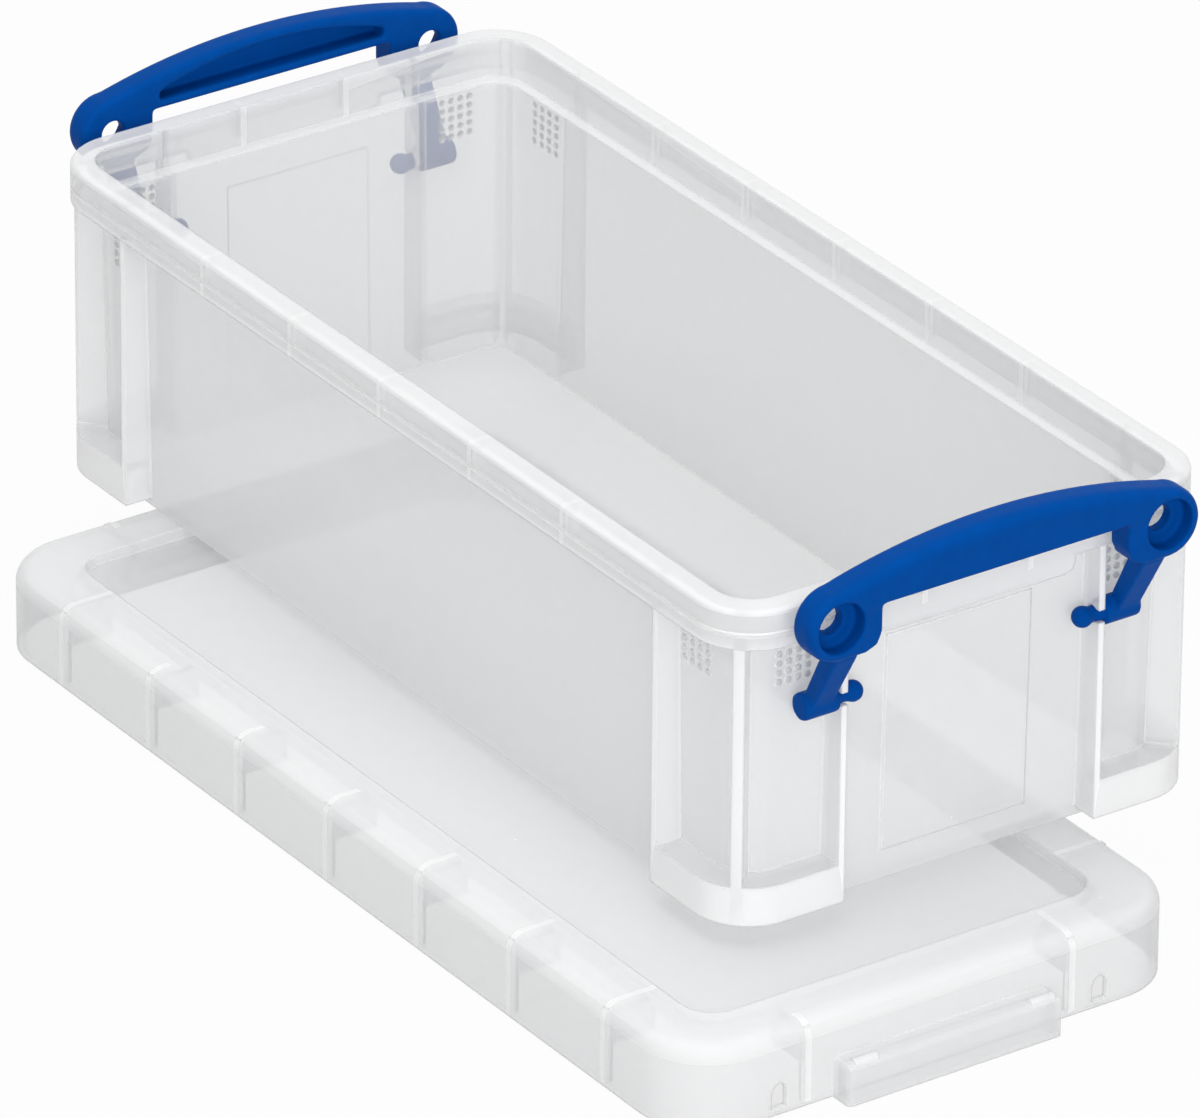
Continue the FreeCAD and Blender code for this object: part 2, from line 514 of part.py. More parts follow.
def makeLid():
    body = newBody("lid")
    sketch = sketchOn(body, "lidOutline", "XY_Plane")
    roundedRect(sketch, lidHalfL, lidHalfW, lidCorner)
    pad(body, "lidBlock", sketch, lidTall)
    roundEdges(body, "lidEdge", lidRound, lambda edge: liesAt(edge, 2, lidTall))
    # The sunk panel on top, and the hollow below it.
    sketch = sketchOn(body, "trayOutline", "XY_Plane", lidTall)
    roundedRect(sketch, trayHalfL, trayHalfW, trayCorner)
    pad(body, "tray", sketch, trayDeep, cut=True)
    innerTop = lidTall - lidTop
    sketch = sketchOn(body, "hollowOutline", "XY_Plane")
    roundedRect(sketch, lidHalfL - lidWall, lidHalfW - lidWall, lidCorner - lidWall)
    pad(body, "hollow", sketch, innerTop - trayDeep, cut=True, flip=True)
    sketch = sketchOn(body, "channelPlan", "XY_Plane", innerTop)
    roundedRect(sketch, lidHalfL - lidWall, lidHalfW - lidWall, lidCorner - lidWall)
    roundedRect(sketch, trayHalfL + lidWall, trayHalfW + lidWall, trayCorner + lidWall)
    pad(body, "channel", sketch, trayDeep, cut=True)
    # Gussets on which the rim seats, with guide ribs below them.
    inset = lidWall / 2
    rows = (("gusset", gussetZ, innerTop + lidTop / 2, trayHalfW + inset, trayHalfL + inset),
            ("guide", guideLow, gussetZ, lidHalfW - lidWall - guideProud, lidHalfL - lidWall - guideProud))
    for name, low, high, innerW, innerL in rows:
        sketch = sketchOn(body, name + "Plan", "XY_Plane", low)
        for side in (1, -1):
            outer = lidHalfW - inset
            first, last = (innerW, outer) if side > 0 else (-outer, -innerW)
            for step in (-3, -2, -1, 0, 1, 2, 3):
                rectangle(sketch, gussetPitch * step - gussetThick / 2, gussetPitch * step + gussetThick / 2,
                          first, last)
            outer = lidHalfL - inset
            first, last = (innerL, outer) if side > 0 else (-outer, -innerL)
            for step in (-1, 1):
                rectangle(sketch, first, last, gussetEndY * step - gussetThick / 2,
                          gussetEndY * step + gussetThick / 2)
        pad(body, name + "s", sketch, high - low)
    # The catch ledge at each end, open below, with two nubs on its top edge.
    root = lidHalfL - lidWall
    sketch = sketchOn(body, "ledgePlan", "XY_Plane")
    for end in (1, -1):
        left, right = (root, lidHalfL + ledgeReach) if end > 0 else (-(lidHalfL + ledgeReach), -root)
        rectangle(sketch, left, right, -ledgeHalf, ledgeHalf)
    pad(body, "ledges", sketch, ledgeTall)
    sketch = sketchOn(body, "ledgeInside", "XY_Plane")
    for end in (1, -1):
        outer = lidHalfL + ledgeReach - ledgeWall
        left, right = (lidHalfL, outer) if end > 0 else (-outer, -lidHalfL)
        rectangle(sketch, left, right, -(ledgeHalf - ledgeWall), ledgeHalf - ledgeWall)
    pad(body, "ledgeHollow", sketch, ledgeTall - ledgeWall, cut=True, flip=True)
    roundEdges(body, "ledgeEdge", ledgeRound, isLedgeEdge)
    for name, side in (("Back", 1), ("Front", -1)):
        sketch = sketchOn(body, "nub" + name + "Profile", "XZ_Plane", nubY * -side)
        for end in (1, -1):
            across = (lidHalfL + ledgeReach - nubRadius - nubSink) * end
            circle(sketch, across, ledgeTall - nubSink, nubRadius)
        pad(body, "nubs" + name, sketch, nubLong, middle=True)
    # Small windows with arched heads through the end skirts.
    sketch = sketchOn(body, "windowProfile", "YZ_Plane")
    for side in (1, -1):
        middle = windowY * side
        polygon(sketch, [(middle - windowHalf, windowLow), (middle + windowHalf, windowLow),
                         (middle + windowHalf, windowHigh - windowHalf),
                         (middle + windowHalf * 0.7, windowHigh - windowHalf * 0.3),
                         (middle + windowHalf * 0.25, windowHigh),
                         (middle - windowHalf * 0.25, windowHigh),
                         (middle - windowHalf * 0.7, windowHigh - windowHalf * 0.3),
                         (middle - windowHalf, windowHigh - windowHalf)])
    pad(body, "windows", sketch, (lidHalfL + cutPast) * 2, middle=True, cut=True)
    place(body, lidX, lidY, 0)
    return body


def makeHandle(label, turned):
    body = newBody(label)
    depth = handleFront - handleBack
    sketch = sketchOn(body, label + "GripOutline", "YZ_Plane", handleBack)
    archRegion(sketch, gripHalf, gripLow, gripEnd, gripMid)
    pad(body, label + "Grip", sketch, depth)
    for name, radius, face in (("Front", gripRound, handleFront), ("Back", gripBackRound, handleBack)):
        roundEdges(body, label + "Grip" + name + "Edge", radius,
                   lambda edge: liesAt(edge, 0, face) and edge.Length > gripHalf.value
                   and not liesAt(edge, 2, gripLow))
    # Two legs: block under the grip, round boss with its cup, arm, lug, pin and ball.
    legs = sketchOn(body, label + "LegOutline", "YZ_Plane", handleBack)
    for side in (1, -1):
        polygon(legs, [(legInner * side, gripLow + rootIn / 2), (legInner * side, legLow + legRound),
                       ((legInner + legRound * 0.3) * side, legLow + legRound * 0.3),
                       ((legInner + legRound) * side, legLow), (bossY * side, legLow),
                       (bossY * side, gripLow + rootIn / 2)])
    pad(body, label + "Legs", legs, depth - legStep)
    for name, side in (("Back", 1), ("Front", -1)):
        sketch = sketchOn(body, label + name + "BossProfile", "XZ_Plane", -bossY * side, bossZ)
        polygon(sketch, [(handleBack, 0), (handleFront, 0), (handleFront, bossRadius - bossRound),
                         (handleFront - bossRound * 0.3, bossRadius - bossRound * 0.3),
                         (handleFront - bossRound, bossRadius), (handleBack + bossBackRound, bossRadius),
                         (handleBack + bossBackRound * 0.3, bossRadius - bossBackRound * 0.3),
                         (handleBack, bossRadius - bossBackRound)])
        boss = body.newObject("PartDesign::Revolution", label + name + "Boss")
        boss.Profile = sketch
        boss.ReferenceAxis = (sketch, ["H_Axis"])
        boss.Angle = 360
        sketch = sketchOn(body, label + name + "ArmProfile", "XZ_Plane", -armY * side)
        polygon(sketch, [(-lugRadius * 0.4, 0), (lugRadius * 0.9, 0),
                         (handleFront - armBack, legLow - armBack * 0.56),
                         (handleFront - armBack, legLow + rootIn),
                         (handleBack + legStep, legLow + rootIn), (handleBack + legStep, legLow)])
        pad(body, label + name + "Arm", sketch, armWide, middle=True)
        sketch = sketchOn(body, label + name + "LugProfile", "XZ_Plane", (lugInner + lugOuter) / 2 * -side)
        circle(sketch, 0, 0, lugRadius)
        pad(body, label + name + "Lug", sketch, lugOuter - lugInner, middle=True)
        pinMiddle = (ballY + lugInner + rootIn) / 2
        sketch = sketchOn(body, label + name + "PinProfile", "XZ_Plane", pinMiddle * -side)
        circle(sketch, 0, 0, pinRadius)
        pad(body, label + name + "Pin", sketch, lugInner + rootIn - ballY, middle=True)
        ball = body.newObject("PartDesign::AdditiveSphere", label + name + "Ball")
        ball.AttachmentSupport = [(originPlane(body, "XY_Plane"), "")]
        ball.MapMode = "FlatFace"
        ball.setExpression("Radius", ballRadius.formula)
        ball.setExpression("AttachmentOffset.Base.y", (ballY * side).formula)
    for name, radius, deep in (("Cup", cupRadius, cupDeep), ("Eye", eyeRadius, depth + cutPast)):
        sketch = sketchOn(body, label + name + "Outline", "YZ_Plane", handleFront)
        for side in (1, -1):
            circle(sketch, bossY * side, bossZ, radius)
        pad(body, label + name + "s", sketch, deep, cut=True)
    # A long hollow in the grip's back.
    sketch = sketchOn(body, label + "HollowOutline", "YZ_Plane", handleBack)
    archRegion(sketch, legInner - hollowWall, gripLow + hollowWall, gripEnd - hollowWall * 0.2,
               gripMid - hollowWall)
    pad(body, label + "Hollow", sketch, hollowDeep, cut=True, flip=True)
    if turned:
        place(body, tubX - pivotX, tubY, lidTall + pivotZ, True)
    else:
        place(body, tubX + pivotX, tubY, lidTall + pivotZ)
    return body


bodies = [makeTub(), makeLid(), makeHandle("handle_near", False), makeHandle("handle_far", True)]
doc.recompute()

for item in doc.Objects:
    if "Invalid" in item.State or "Error" in item.State:
        raise RuntimeError("%s failed: %s" % (item.Name, item.State))
for body in bodies:
    if body.Shape.isNull() or not body.Shape.isValid() or len(body.Shape.Solids) != 1:
        raise RuntimeError("%s is not one valid solid" % body.Label)

os.makedirs("parts", exist_ok=True)
for body in bodies:
    box = body.Shape.optimalBoundingBox(True, False)
    print("%s: %.1f x %.1f x %.1f mm, %.2f cm3" % (body.Label, box.XLength, box.YLength, box.ZLength,
                                                  body.Shape.Volume / 1000))
    body.Shape.exportStep("parts/%s.step" % body.Label)
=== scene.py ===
import math

import bmesh
import bpy
from mathutils import Matrix, Vector


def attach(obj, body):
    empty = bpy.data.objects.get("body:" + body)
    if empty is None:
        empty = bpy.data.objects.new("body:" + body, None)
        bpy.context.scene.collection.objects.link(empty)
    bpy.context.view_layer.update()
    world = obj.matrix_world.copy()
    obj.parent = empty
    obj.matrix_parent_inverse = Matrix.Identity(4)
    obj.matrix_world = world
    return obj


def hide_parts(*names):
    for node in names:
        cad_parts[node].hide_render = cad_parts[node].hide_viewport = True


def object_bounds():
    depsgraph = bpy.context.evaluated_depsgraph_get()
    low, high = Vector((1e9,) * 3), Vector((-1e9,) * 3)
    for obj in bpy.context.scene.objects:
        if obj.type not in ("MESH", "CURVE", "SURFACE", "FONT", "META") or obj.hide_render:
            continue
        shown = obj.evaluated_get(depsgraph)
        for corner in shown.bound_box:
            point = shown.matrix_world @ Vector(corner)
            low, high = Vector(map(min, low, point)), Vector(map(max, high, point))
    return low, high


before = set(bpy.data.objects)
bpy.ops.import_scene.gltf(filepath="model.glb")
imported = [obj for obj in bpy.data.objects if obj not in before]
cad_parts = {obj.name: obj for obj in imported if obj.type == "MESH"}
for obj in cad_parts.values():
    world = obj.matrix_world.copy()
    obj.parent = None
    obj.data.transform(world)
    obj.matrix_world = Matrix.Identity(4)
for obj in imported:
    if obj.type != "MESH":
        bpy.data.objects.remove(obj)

cadBox = [list(corner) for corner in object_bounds()]
print("frame loaded:", sorted(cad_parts))


# helpers for node trees

mixSockets = {"first": 6, "second": 7, "result": 2}   # where a mix node keeps its colours


def addNode(tree, kind, place, **values):
    node = tree.nodes.new(kind)
    node.location = place
    for name, value in values.items():
        setattr(node, name, value)
    return node


def setInputs(node, **values):
    for name, value in values.items():
        node.inputs[name.replace("_", " ")].default_value = value


def addMath(tree, place, operation, first, second):
    node = addNode(tree, "ShaderNodeMath", place, operation=operation)
    tree.links.new(first, node.inputs[0])
    tree.links.new(second, node.inputs[1])
    return node.outputs["Value"]


def addColorMix(tree, place, share, first, second):
    mix = addNode(tree, "ShaderNodeMix", place, data_type="RGBA")
    mix.inputs[mixSockets["first"]].default_value = first
    mix.inputs[mixSockets["second"]].default_value = second
    tree.links.new(share, mix.inputs["Factor"])
    return mix


def addShaderMix(tree, place, first, second):
    mix = addNode(tree, "ShaderNodeMixShader", place)
    tree.links.new(first, mix.inputs[1])
    tree.links.new(second, mix.inputs[2])
    return mix


def newMaterial(name):
    material = bpy.data.materials.new(name)
    material.use_nodes = True
    material.node_tree.nodes.clear()
    return material


# moulded surface: faint waviness of the cooled skin, fine tool grain, mottling and dust

mouldedSkin = {
    "wave": {"Scale": 55.0, "Detail": 2.0, "Roughness": 0.45},     # long ripples, per metre
    "grain": {"Scale": 2600.0, "Detail": 2.0, "Roughness": 0.6},   # spark-eroded tool grain
    "marks": {"Scale": 320.0, "Detail": 4.0, "Roughness": 0.6},    # mottling of the tool's polish
    "patchLow": 0.30,       # mottling below this counts as none
    "patchHigh": 0.70,      # and above this as full
    "dust": {"Scale": 150.0, "Randomness": 1.0},                   # one possible speck per 7 mm
    "speckSize": 0.034,     # its radius, as a share of that
    "speckStart": 0.55,     # a place's random value has to pass this to hold a speck
    "inputs": ("Base Roughness", "Roughness Spread", "Grain"),
    "outputs": ("Roughness", "Height", "Patches", "Specks"),
}


def buildMouldedSkinGroup():
    group = bpy.data.node_groups.new("mouldedSkin", "ShaderNodeTree")
    for name in mouldedSkin["inputs"]:
        group.interface.new_socket(name=name, in_out="INPUT", socket_type="NodeSocketFloat")
    for name in mouldedSkin["outputs"]:
        group.interface.new_socket(name=name, in_out="OUTPUT", socket_type="NodeSocketFloat")
    links = group.links
    inside = addNode(group, "NodeGroupInput", (-900, 0))
    outside = addNode(group, "NodeGroupOutput", (700, 0))
    place = addNode(group, "ShaderNodeTexCoord", (-900, 300))
    wave = addNode(group, "ShaderNodeTexNoise", (-600, 300))
    grain = addNode(group, "ShaderNodeTexNoise", (-600, 60))
    marks = addNode(group, "ShaderNodeTexNoise", (-600, -180))
    dust = addNode(group, "ShaderNodeTexVoronoi", (-600, -420))
    textures = {"wave": wave, "grain": grain, "marks": marks, "dust": dust}
    for name, texture in textures.items():
        setInputs(texture, **mouldedSkin[name])
        links.new(place.outputs["Object"], texture.inputs["Vector"])
    few = addNode(group, "ShaderNodeMapRange", (-340, -520))
    setInputs(few, From_Min=mouldedSkin["speckStart"], From_Max=1.0,
              To_Min=0.0, To_Max=mouldedSkin["speckSize"])
    links.new(dust.outputs["Color"], few.inputs["Value"])
    specks = addMath(group, (-60, -420), "LESS_THAN", dust.outputs["Distance"],
                     few.outputs["Result"])
    patches = addNode(group, "ShaderNodeMapRange", (-340, -180), interpolation_type="SMOOTHSTEP")
    setInputs(patches, From_Min=mouldedSkin["patchLow"], From_Max=mouldedSkin["patchHigh"])
    links.new(marks.outputs["Fac"], patches.inputs["Value"])
    spread = addMath(group, (-60, -120), "MULTIPLY", patches.outputs["Result"],
                     inside.outputs["Roughness Spread"])
    rough = addMath(group, (160, -60), "ADD", inside.outputs["Base Roughness"], spread)
    fine = addMath(group, (-60, 140), "MULTIPLY", grain.outputs["Fac"], inside.outputs["Grain"])
    height = addMath(group, (160, 220), "ADD", wave.outputs["Fac"], fine)
    links.new(rough, outside.inputs["Roughness"])
    links.new(height, outside.inputs["Height"])
    links.new(patches.outputs["Result"], outside.inputs["Patches"])
    links.new(specks, outside.inputs["Specks"])
    return group


skinGroup = buildMouldedSkinGroup()


def addMouldedSkin(tree, shader, look):
    skin = addNode(tree, "ShaderNodeGroup", (-700, -200))
    skin.node_tree = skinGroup
    setInputs(skin, Base_Roughness=look["roughness"], Roughness_Spread=look["spread"],
              Grain=look["grain"])
    bump = addNode(tree, "ShaderNodeBump", (-300, -320))
    setInputs(bump, Strength=look["bump"], Distance=look["bumpDepth"])
    tree.links.new(skin.outputs["Roughness"], shader.inputs["Roughness"])
    tree.links.new(skin.outputs["Height"], bump.inputs["Height"])
    tree.links.new(bump.outputs["Normal"], shader.inputs["Normal"])
    return skin, bump


# clear polypropylene: see-through with a milky veil; painted highlight: the colour is whitened
# where a thin section shows its edge

clearLook = {
    "base": (0.846, 0.853, 0.862, 1.0),
    "milk": (0.854, 0.861, 0.870, 1.0),
    # painted highlight: the white that the colour is mixed towards at edges, ribs, feet, crests
    # and pips
    "edge": (0.99, 0.99, 0.99, 1.0),
    "veilLow": 0.280,
    "veilHigh": 0.281,
    "edgeVeil": 0.90,
    "edgeRadius": 0.0006,
    "edgeSamples": 4,
    # painted highlight at the turn of every corner, found from the Bevel node's rounded normal
    "turnStart": 0.995,       # cosine of the turn where a corner starts to glow
    "turnFull": 0.85,         # and where it glows fully
    "cornerGlow": 0.95,
    "slantBlend": 0.5,
    "grazing": 0.16,          # a slanted look goes through more plastic
    "through": 0.18,          # share of the veil's light that comes from behind
    "roughness": 0.22,
    "spread": 0.05,
    "grain": 0.02,
    "bump": 0.08,
    "bumpDepth": 0.0003,
    "ior": 1.49,
}


def addEdgeGlow(tree, look):
    # painted highlight: a glow mask over narrow strips and the turn of every corner, which
    # whitens the colour; the thicker veil it also gives stands for the longer path through the
    # plastic
    links = tree.links
    strip = addNode(tree, "ShaderNodeAttribute", (-1300, 700), attribute_name="stripGlow")
    rounded = addNode(tree, "ShaderNodeBevel", (-1300, 520), samples=look["edgeSamples"])
    setInputs(rounded, Radius=look["edgeRadius"])
    flat = addNode(tree, "ShaderNodeNewGeometry", (-1300, 380))
    match = addNode(tree, "ShaderNodeVectorMath", (-1080, 460), operation="DOT_PRODUCT")
    links.new(rounded.outputs["Normal"], match.inputs[0])
    links.new(flat.outputs["True Normal"], match.inputs[1])
    turn = addNode(tree, "ShaderNodeMapRange", (-880, 460))
    setInputs(turn, From_Min=look["turnStart"], From_Max=look["turnFull"],
              To_Min=0.0, To_Max=look["cornerGlow"])
    links.new(match.outputs["Value"], turn.inputs["Value"])
    glow = addMath(tree, (-680, 560), "MAXIMUM", strip.outputs["Fac"], turn.outputs["Result"])
    return glow, rounded.outputs["Normal"]


def addVeil(tree, look, skin, glow):
    # how much of the view the plastic clouds: thin on a flat wall, thick at edges and specks
    links = tree.links
    wall = addNode(tree, "ShaderNodeMapRange", (-640, 20))
    setInputs(wall, To_Min=look["veilLow"], To_Max=look["veilHigh"])
    links.new(skin.outputs["Patches"], wall.inputs["Value"])
    slant = addNode(tree, "ShaderNodeLayerWeight", (-640, 200))
    setInputs(slant, Blend=look["slantBlend"])
    longer = addNode(tree, "ShaderNodeMath", (-440, 100), operation="MULTIPLY_ADD")
    longer.inputs[1].default_value = look["grazing"]
    links.new(slant.outputs["Facing"], longer.inputs[0])
    links.new(wall.outputs["Result"], longer.inputs[2])
    bright = addMath(tree, (-440, -60), "MAXIMUM", glow, skin.outputs["Specks"])
    veil = addNode(tree, "ShaderNodeMapRange", (-220, 20))
    setInputs(veil, To_Max=look["edgeVeil"])
    links.new(bright, veil.inputs["Value"])
    links.new(longer.outputs["Value"], veil.inputs["To Min"])
    return veil.outputs["Result"]


def buildClearPlastic(name, look):
    material = newMaterial(name)
    tree = material.node_tree
    links = tree.links
    result = addNode(tree, "ShaderNodeOutputMaterial", (800, 0))
    shader = addNode(tree, "ShaderNodeBsdfPrincipled", (150, 0))
    setInputs(shader, IOR=look["ior"])
    skin, bump = addMouldedSkin(tree, shader, look)
    glow, roundedNormal = addEdgeGlow(tree, look)
    links.new(roundedNormal, bump.inputs["Normal"])
    tint = addColorMix(tree, (-420, 420), skin.outputs["Patches"], look["base"], look["milk"])
    # painted highlight: the colour is mixed towards white by the glow mask
    paintedHighlight = addColorMix(tree, (-150, 420), glow, look["base"], look["edge"])
    links.new(tint.outputs[mixSockets["result"]], paintedHighlight.inputs[mixSockets["first"]])
    color = paintedHighlight.outputs[mixSockets["result"]]
    links.new(color, shader.inputs["Base Color"])
    veil = addVeil(tree, look, skin, glow)
    links.new(veil, shader.inputs["Alpha"])
    # the same veil lit from behind
    behind = addNode(tree, "ShaderNodeBsdfTranslucent", (150, 300))
    links.new(color, behind.inputs["Color"])
    clear = addNode(tree, "ShaderNodeBsdfTransparent", (150, 420))
    backlit = addShaderMix(tree, (380, 340), clear.outputs["BSDF"], behind.outputs["BSDF"])
    links.new(veil, backlit.inputs["Fac"])
    both = addShaderMix(tree, (600, 100), shader.outputs["BSDF"], backlit.outputs["Shader"])
    setInputs(both, Fac=look["through"])
    links.new(both.outputs["Shader"], result.inputs["Surface"])
    return material


# blue polypropylene of the handles

blueLook = {
    "base": (0.0, 0.052, 0.262, 1.0),
    "rubbed": (0.0, 0.057, 0.285, 1.0),
    "specular": 0.03,
    "roughness": 0.40,
    "spread": 0.12,
    "grain": 0.5,
    "bump": 0.15,
    "bumpDepth": 0.0002,
    "ior": 1.49,
}


def buildBluePlastic(name, look):
    material = newMaterial(name)
    tree = material.node_tree
    result = addNode(tree, "ShaderNodeOutputMaterial", (400, 0))
    shader = addNode(tree, "ShaderNodeBsdfPrincipled", (0, 0))
    setInputs(shader, IOR=look["ior"], Specular_IOR_Level=look["specular"])
    skin = addMouldedSkin(tree, shader, look)[0]
    tint = addColorMix(tree, (-300, 200), skin.outputs["Patches"], look["base"], look["rubbed"])
    tree.links.new(tint.outputs[mixSockets["result"]], shader.inputs["Base Color"])
    tree.links.new(shader.outputs["BSDF"], result.inputs["Surface"])
    return material


clearPlastic = buildClearPlastic("clearPlastic", clearLook)
bluePlastic = buildBluePlastic("bluePlastic", blueLook)
print("materials built")


# mouldings that stand for the frame's solids

mergeDistance = 1e-6   # joins the doubled points along a solid's edges


def copyNode(nodeName, name):
    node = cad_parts[nodeName]
    bpy.ops.object.select_all(action="DESELECT")
    piece = node.copy()
    piece.data = node.data.copy()
    piece.parent = None
    piece.name = name
    piece.data.name = name
    for key in [key for key in piece.keys() if key.startswith("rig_")]:
        del piece[key]
    bpy.context.scene.collection.objects.link(piece)
    bpy.context.view_layer.objects.active = piece
    piece.select_set(True)
    bpy.ops.object.mode_set(mode="EDIT")
    bpy.ops.mesh.select_all(action="SELECT")
    bpy.ops.mesh.remove_doubles(threshold=mergeDistance)
    bpy.ops.object.mode_set(mode="OBJECT")
    bpy.ops.mesh.customdata_custom_splitnormals_clear()
    return piece


def finishPiece(piece, nodeName, plastic):
    piece.data.materials.clear()
    piece.data.materials.append(plastic)
    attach(piece, nodeName)
    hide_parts(nodeName)
    print("moulding", piece.name, "has", len(piece.data.polygons), "faces")


# clear mouldings: strips are marked where a thin wall shows its edge or a rib stands behind, as a
# painted highlight that whitens their colour

stripSettings = {
    "sharpAngle": 35.0,       # degrees between faces that counts as an edge
    "thin": 0.0014,           # a strip this narrow glows fully
    "wide": 0.0028,           # a strip this wide doesn't glow
    "leastOutline": 1e-6,     # keeps a patch with no outline from dividing by zero
    "cutBeside": 0.00001,     # the skin is cut this far outside a rib's two sides
    "webMargin": 0.00003,     # a face this far outside a rib or fin still belongs to it
    "webSide": 0.9,           # a normal this much along the web's axis is its flat side
    "upright": 0.5,           # a normal with less rise than this is on a wall
    "level": 0.99,            # and with more than this on a level face
    "sunk": 0.0005,           # level faces this far below a crest don't belong to it
}

# painted highlight: each glow below is a share of white mixed into the colour of those faces
clearMouldings = {
    "tub": {
        "name": "tubMoulding",
        "middle": (-0.01115, 0.01325),
        "stripGlow": 0.85,
        "crest": {"low": 0.0736, "flat": 0.0750, "glow": 0.38},   # the rim's doubled top
        "ribs": {
            "alongX": [-0.0536, -0.0268, 0.0, 0.0268, 0.0536],    # on the rim's long sides
            "alongY": [-0.0105, 0.0105],                          # on the rim's ends
            "half": 0.00055,                                      # half their thickness
            "outside": (0.0981, 0.0436),                          # beyond this half length, width
            "low": 0.0676,                                        # and above this height
            "lineGlow": 0.45,
            "webGlow": 0.62,
        },
        "fins": {
            "alongX": [-0.0795, 0.0795],
            "alongY": [-0.0256, 0.0256],
            "half": 0.0006,
            "outside": (0.0972, 0.0427),
            "low": 0.0168,
            "lineGlow": 0.90,
            "webGlow": 0.25,
        },
        "feet": {"high": 0.0242, "outside": (0.0985, 0.0440), "glow": 0.65},
    },
    "lid": {
        "name": "lidMoulding",
        "middle": (0.01285, -0.01125),
        "stripGlow": 0.50,
        "crest": {"low": 0.0121, "flat": 0.0150, "glow": 0.26},   # the border round the tray
        "ribs": {
            "alongX": [-0.081, -0.054, -0.027, 0.0, 0.027, 0.054, 0.081],
            "alongY": [-0.0261, 0.0261],
            "half": 0.0006,
            "outside": (0.0975, 0.0430),
            "low": 0.0006,
            "lineGlow": 0.55,
            "webGlow": 0.20,
        },
    },
}


def stripWidths(mesh):
    # faces joined by soft edges make one patch; its width is twice its area over its outline
    work = bmesh.new()
    work.from_mesh(mesh)
    work.faces.index_update()
    sharp = math.radians(stripSettings["sharpAngle"])
    patchOf = {}
    widths = []
    for face in work.faces:
        if face.index in patchOf:
            continue
        area = 0.0
        outline = 0.0
        patchOf[face.index] = len(widths)
        waiting = [face]
        while waiting:
            current = waiting.pop()
            area += current.calc_area()
            for edge in current.edges:
                if edge.calc_face_angle(math.pi) > sharp:
                    outline += edge.calc_length()
                    continue
                for other in edge.link_faces:
                    if other.index not in patchOf:
                        patchOf[other.index] = len(widths)
                        waiting.append(other)
        widths.append(2 * area / max(outline, stripSettings["leastOutline"]))
    found = [widths[patchOf[face.index]] for face in work.faces]
    work.free()
    return found


def webPlanes(moulding, webs):
    # each rib or fin as (axis, its middle along that axis)
    planes = [(0, moulding["middle"][0] + x) for x in webs["alongX"]]
    planes += [(1, moulding["middle"][1] + y) for y in webs["alongY"]]
    return planes


def cutBesideRibs(moulding):
    ribs = moulding["ribs"]
    bpy.ops.object.mode_set(mode="EDIT")
    for axis, spot in webPlanes(moulding, ribs):
        for side in (-1, 1):
            point = [0.0, 0.0, 0.0]
            normal = [0.0, 0.0, 0.0]
            point[axis] = spot + side * (ribs["half"] + stripSettings["cutBeside"])
            normal[axis] = 1.0
            bpy.ops.mesh.select_all(action="SELECT")
            bpy.ops.mesh.bisect(plane_co=point, plane_no=normal)
    bpy.ops.object.mode_set(mode="OBJECT")


def webGlow(face, moulding, webs):
    # painted highlight: glow of a face that belongs to a rib or fin, or to the skin in front of
    # one
    place = face.center
    if place.z <= webs["low"]:
        return 0.0
    reach = webs["half"] + stripSettings["webMargin"]
    for axis, spot in webPlanes(moulding, webs):
        across = 1 - axis
        out = abs(place[across] - moulding["middle"][across]) > webs["outside"][across]
        if out and abs(place[axis] - spot) < reach:
            flatSide = abs(face.normal[axis]) > stripSettings["webSide"]
            return webs["webGlow"] if flatSide else webs["lineGlow"]
    return 0.0


def footGlow(face, moulding):
    # painted highlight: glow of the upright walls of the feet
    feet = moulding["feet"]
    out = [abs(face.center[i] - moulding["middle"][i]) > feet["outside"][i] for i in (0, 1)]
    upright = abs(face.normal.z) < stripSettings["upright"]
    return feet["glow"] if upright and any(out) and face.center.z < feet["high"] else 0.0


# painted highlight: a face's glow from ribs, the crest, fins and feet
def faceGlow(face, moulding):
    glow = webGlow(face, moulding, moulding["ribs"])
    crest = moulding["crest"]
    height = face.center.z
    level = face.normal.z > stripSettings["level"]
    sunk = level and height < crest["flat"] - stripSettings["sunk"]
    if height > crest["low"] and not sunk:
        glow = max(glow, crest["glow"])
    if "fins" in moulding:
        glow = max(glow, webGlow(face, moulding, moulding["fins"]), footGlow(face, moulding))
    return glow


# small raised pips on the tub's wall beside each corner, just below the rim

pips = {
    "radius": 0.00062,
    "height": 0.00034,
    "sunk": 0.2,          # share of the radius that is set into the wall
    "segments": 10,
    "rings": 6,
    # painted highlight: share of white mixed into the pips' colour
    "glow": 0.34,
    "rows": [0.0584, 0.0601, 0.0618, 0.0635, 0.0652],    # heights
    "onLongWalls": [0.0816, 0.0838, 0.0860, 0.0882],     # along the length, from the middle
    "onEndWalls": [0.0298, 0.0317, 0.0336, 0.0355],      # across the width, from the middle
    "castFrom": 0.2,      # distance from the middle where the search for the wall starts
}


def modelPip():
    bpy.ops.object.select_all(action="DESELECT")
    bpy.ops.mesh.primitive_uv_sphere_add(segments=pips["segments"], ring_count=pips["rings"],
                                         radius=pips["radius"])
    pip = bpy.context.active_object
    bpy.ops.object.mode_set(mode="EDIT")
    bpy.ops.mesh.select_all(action="SELECT")
    bpy.ops.mesh.bisect(plane_co=(0, 0, -pips["radius"] * pips["sunk"]), plane_no=(0, 0, 1),
                        clear_inner=True, use_fill=True)
    bpy.ops.mesh.select_all(action="SELECT")
    bpy.ops.transform.resize(value=(1, 1, pips["height"] / pips["radius"]))
    bpy.ops.object.mode_set(mode="OBJECT")
    bpy.ops.object.shade_smooth()
    glow = pip.data.attributes.new("stripGlow", "FLOAT", "FACE")
    for entry in glow.data:
        entry.value = pips["glow"]
    return pip


